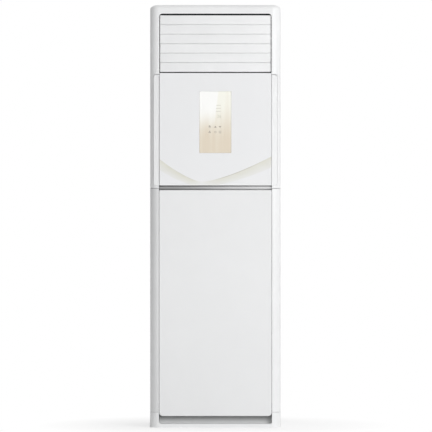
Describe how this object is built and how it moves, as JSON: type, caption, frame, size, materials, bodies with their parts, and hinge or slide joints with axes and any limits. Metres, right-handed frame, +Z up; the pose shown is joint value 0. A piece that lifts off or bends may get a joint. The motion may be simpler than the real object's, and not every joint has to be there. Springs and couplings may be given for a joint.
{
  "type": "floor standing air conditioner",
  "caption": "Tall cabinet air conditioner with a slatted outlet at the top, a glossy display panel, a plain lower panel and a blower, coil and swing gear inside.",
  "frame": {"origin": "middle of the footprint, on the floor", "axes": "+Z up, the front with its panels faces -Y, +X to the right seen from the front"},
  "size_m": [0.545, 0.34, 1.75],
  "materials": {
    "white_plastic": "satin moulded plastic",
    "white_steel": "satin powder coat",
    "gloss_white": "polished acrylic",
    "gold_glass": "gold tinted mirror glass",
    "grey_plastic": "satin",
    "charcoal_plastic": "satin",
    "galvanised_steel": "galvanised sheet",
    "plain_steel": "plated steel",
    "fin_aluminium": "plain aluminium fins",
    "copper": "drawn copper",
    "pale_foam": "moulded, matte",
    "black_rubber": "matte",
    "circuit_board": "solder mask",
    "filter_plastic": "fine net in a frame"
  },
  "bodies": {
    "cabinet": {"base_frame": "white_plastic", "base_pan": "galvanised_steel", "toe_plate": "grey_plastic", "upper_front_frame": "white_plastic", "top_cover": "white_plastic", "back_panel": "white_steel", "pipe_grommet": "black_rubber", "cable_gland": "black_rubber", "cross_rail": "white_plastic", "panel_carrier": "white_plastic", "face_sheet": "gloss_white", "display_window": "gold_glass", "display_board": "circuit_board", "lower_post_left": "white_plastic", "lower_post_right": "white_plastic", "side_panel_left": "white_steel", "side_panel_right": "white_steel", "outlet_frame": "charcoal_plastic", "slat_motor": "plain_steel", "vane_motor": "plain_steel", "outlet_duct": "pale_foam", "aux_heater": "plain_steel", "evaporator_coil": "fin_aluminium", "coil_plate_left": "copper", "coil_plate_right": "copper", "gas_pipe": "copper", "liquid_pipe": "copper", "drain_pan": "pale_foam", "drain_hose": "black_rubber", "mid_deck": "galvanised_steel", "front_partition": "galvanised_steel", "electrical_box": "galvanised_steel", "main_board": "circuit_board", "electrical_cover": "galvanised_steel", "blower_housing_front": "charcoal_plastic", "blower_housing_rear": "charcoal_plastic", "motor_bracket": "galvanised_steel", "fan_motor": "plain_steel", "blower_stand": "galvanised_steel"},
    "lower_door": {"lower_panel": "white_steel"},
    "intake_left": {"intake_grille_left": "white_plastic", "air_filter_left": "filter_plastic"},
    "intake_right": {"intake_grille_right": "white_plastic", "air_filter_right": "filter_plastic"},
    "blower": {"blower_wheel": "charcoal_plastic", "motor_shaft": "plain_steel"},
    "slat_1": {"slat_1": "white_plastic"},
    "slat_2": {"slat_2": "white_plastic"},
    "slat_3": {"slat_3": "white_plastic"},
    "slat_4": {"slat_4": "white_plastic"},
    "slat_5": {"slat_5": "white_plastic"},
    "slat_6": {"slat_6": "white_plastic"},
    "slat_link": {"slat_link": "grey_plastic"},
    "vane_1": {"vane_1": "charcoal_plastic"},
    "vane_2": {"vane_2": "charcoal_plastic"},
    "vane_3": {"vane_3": "charcoal_plastic"},
    "vane_4": {"vane_4": "charcoal_plastic"},
    "vane_5": {"vane_5": "charcoal_plastic"},
    "vane_6": {"vane_6": "charcoal_plastic"},
    "vane_link": {"vane_link": "grey_plastic"}
  },
  "joints": [
    {"name": "lower_door_tilt", "type": "hinge", "parent": "cabinet", "child": "lower_door", "pos_m": [0, -0.153, 0.076], "axis": [1, 0, 0], "range_deg": [0, 30]},
    {"name": "intake_left_tilt", "type": "hinge", "parent": "cabinet", "child": "intake_left", "pos_m": [-0.267, 0, 0.175], "axis": [0, -1, 0], "range_deg": [0, 35]},
    {"name": "intake_right_tilt", "type": "hinge", "parent": "cabinet", "child": "intake_right", "pos_m": [0.267, 0, 0.175], "axis": [0, 1, 0], "range_deg": [0, 35]},
    {"name": "blower_spin", "type": "hinge", "parent": "cabinet", "child": "blower", "pos_m": [0, 0.05, 0.4], "axis": [0, 1, 0], "continuous": true},
    {"name": "slat_1_turn", "type": "hinge", "parent": "cabinet", "child": "slat_1", "pos_m": [0, -0.1555, 1.689], "axis": [-1, 0, 0], "range_deg": [0, 80]},
    {"name": "slat_2_turn", "type": "hinge", "parent": "cabinet", "child": "slat_2", "pos_m": [0, -0.1555, 1.6498], "axis": [-1, 0, 0], "range_deg": [0, 80]},
    {"name": "slat_3_turn", "type": "hinge", "parent": "cabinet", "child": "slat_3", "pos_m": [0, -0.1555, 1.6106], "axis": [-1, 0, 0], "range_deg": [0, 80]},
    {"name": "slat_4_turn", "type": "hinge", "parent": "cabinet", "child": "slat_4", "pos_m": [0, -0.1555, 1.5714], "axis": [-1, 0, 0], "range_deg": [0, 80]},
    {"name": "slat_5_turn", "type": "hinge", "parent": "cabinet", "child": "slat_5", "pos_m": [0, -0.1555, 1.5322], "axis": [-1, 0, 0], "range_deg": [0, 80]},
    {"name": "slat_6_turn", "type": "hinge", "parent": "cabinet", "child": "slat_6", "pos_m": [0, -0.1555, 1.493], "axis": [-1, 0, 0], "range_deg": [0, 80]},
    {"name": "slat_link_swing", "type": "hinge", "parent": "slat_1", "child": "slat_link", "pos_m": [0.2314, -0.14324, 1.69928], "axis": [-1, 0, 0], "range_deg": [-80, 0]},
    {"name": "vane_1_turn", "type": "hinge", "parent": "cabinet", "child": "vane_1", "pos_m": [-0.185, -0.095, 1.59], "axis": [0, 0, 1], "range_deg": [-40, 40]},
    {"name": "vane_2_turn", "type": "hinge", "parent": "cabinet", "child": "vane_2", "pos_m": [-0.111, -0.095, 1.59], "axis": [0, 0, 1], "range_deg": [-40, 40]},
    {"name": "vane_3_turn", "type": "hinge", "parent": "cabinet", "child": "vane_3", "pos_m": [-0.037, -0.095, 1.59], "axis": [0, 0, 1], "range_deg": [-40, 40]},
    {"name": "vane_4_turn", "type": "hinge", "parent": "cabinet", "child": "vane_4", "pos_m": [0.037, -0.095, 1.59], "axis": [0, 0, 1], "range_deg": [-40, 40]},
    {"name": "vane_5_turn", "type": "hinge", "parent": "cabinet", "child": "vane_5", "pos_m": [0.111, -0.095, 1.59], "axis": [0, 0, 1], "range_deg": [-40, 40]},
    {"name": "vane_6_turn", "type": "hinge", "parent": "cabinet", "child": "vane_6", "pos_m": [0.185, -0.095, 1.59], "axis": [0, 0, 1], "range_deg": [-40, 40]},
    {"name": "vane_link_swing", "type": "hinge", "parent": "vane_1", "child": "vane_link", "pos_m": [-0.185, -0.073, 1.7135], "axis": [0, 0, 1], "range_deg": [-40, 40]}
  ],
  "couplings": [
    {"joint": "slat_2_turn", "follows": "slat_1_turn", "ratio": 1},
    {"joint": "slat_3_turn", "follows": "slat_1_turn", "ratio": 1},
    {"joint": "slat_4_turn", "follows": "slat_1_turn", "ratio": 1},
    {"joint": "slat_5_turn", "follows": "slat_1_turn", "ratio": 1},
    {"joint": "slat_6_turn", "follows": "slat_1_turn", "ratio": 1},
    {"joint": "slat_link_swing", "follows": "slat_1_turn", "ratio": -1},
    {"joint": "vane_2_turn", "follows": "vane_1_turn", "ratio": 1},
    {"joint": "vane_3_turn", "follows": "vane_1_turn", "ratio": 1},
    {"joint": "vane_4_turn", "follows": "vane_1_turn", "ratio": 1},
    {"joint": "vane_5_turn", "follows": "vane_1_turn", "ratio": 1},
    {"joint": "vane_6_turn", "follows": "vane_1_turn", "ratio": 1},
    {"joint": "vane_link_swing", "follows": "vane_1_turn", "ratio": -1}
  ]
}
